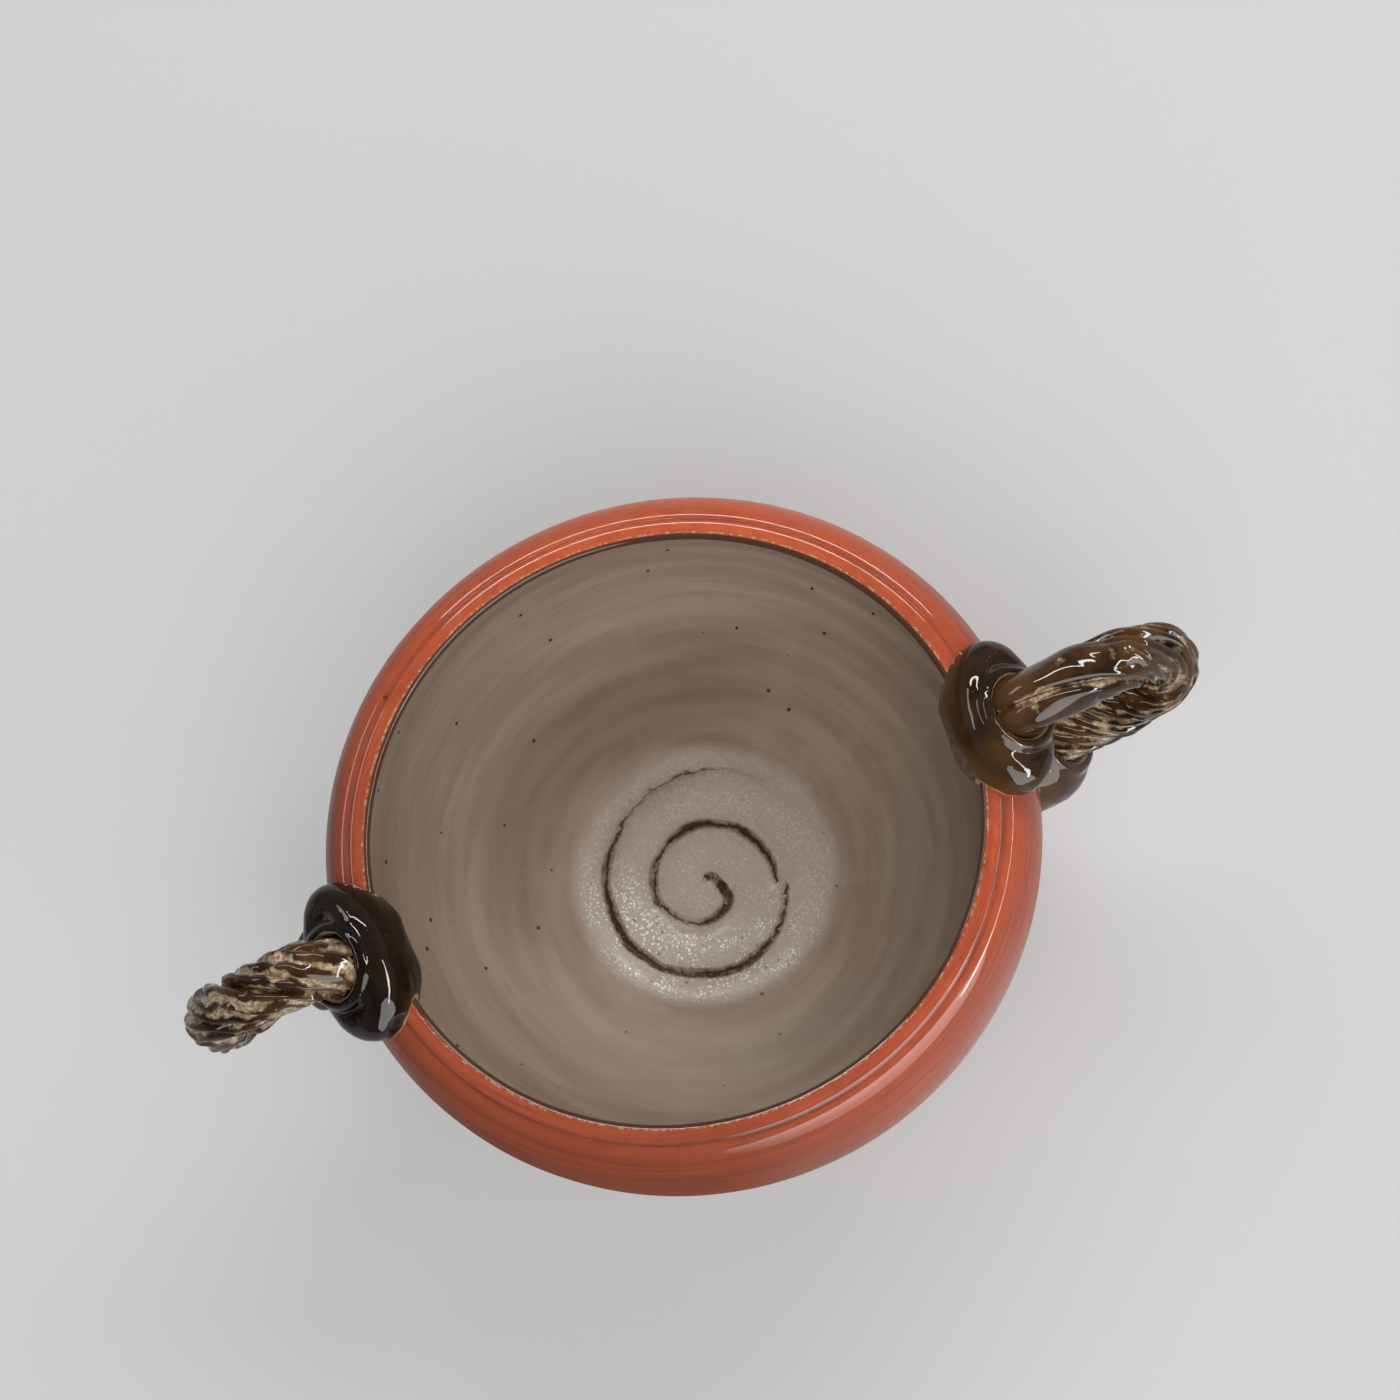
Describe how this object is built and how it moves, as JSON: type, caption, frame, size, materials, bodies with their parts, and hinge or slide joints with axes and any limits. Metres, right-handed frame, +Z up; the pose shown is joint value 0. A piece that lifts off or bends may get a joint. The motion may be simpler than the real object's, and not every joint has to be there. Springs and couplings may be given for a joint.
{
  "type": "sipping bowl",
  "caption": "Round-bellied stoneware sipping bowl with a drawn-in lip, a turned foot ring and looped handles of twisted clay rope seated in domed pads.",
  "frame": {"origin": "on the table under the middle of the whole part; the bowl's own axis stands 1.75 mm to the +X side of it, because the left handle reaches further", "axes": "+X along the line of the handles, +Y across them, +Z up out of the mouth"},
  "size_m": [0.2124, 0.1382, 0.0895],
  "materials": {
    "bowl_glaze": "gloss red-orange glaze outside, satin taupe glaze inside",
    "pad_glaze": "gloss brown-black glaze",
    "rope_glaze": "gloss amber-brown glaze, thin on the ridges and cream in the grooves"
  },
  "bodies": {
    "root": {"bowl": "bowl_glaze", "right_upper_pad": "pad_glaze", "right_lower_pad": "pad_glaze", "left_upper_pad": "pad_glaze", "left_lower_pad": "pad_glaze", "right_strand_1": "rope_glaze", "right_strand_2": "rope_glaze", "right_strand_3": "rope_glaze", "left_strand_1": "rope_glaze", "left_strand_2": "rope_glaze", "left_strand_3": "rope_glaze"}
  },
  "joints": []
}
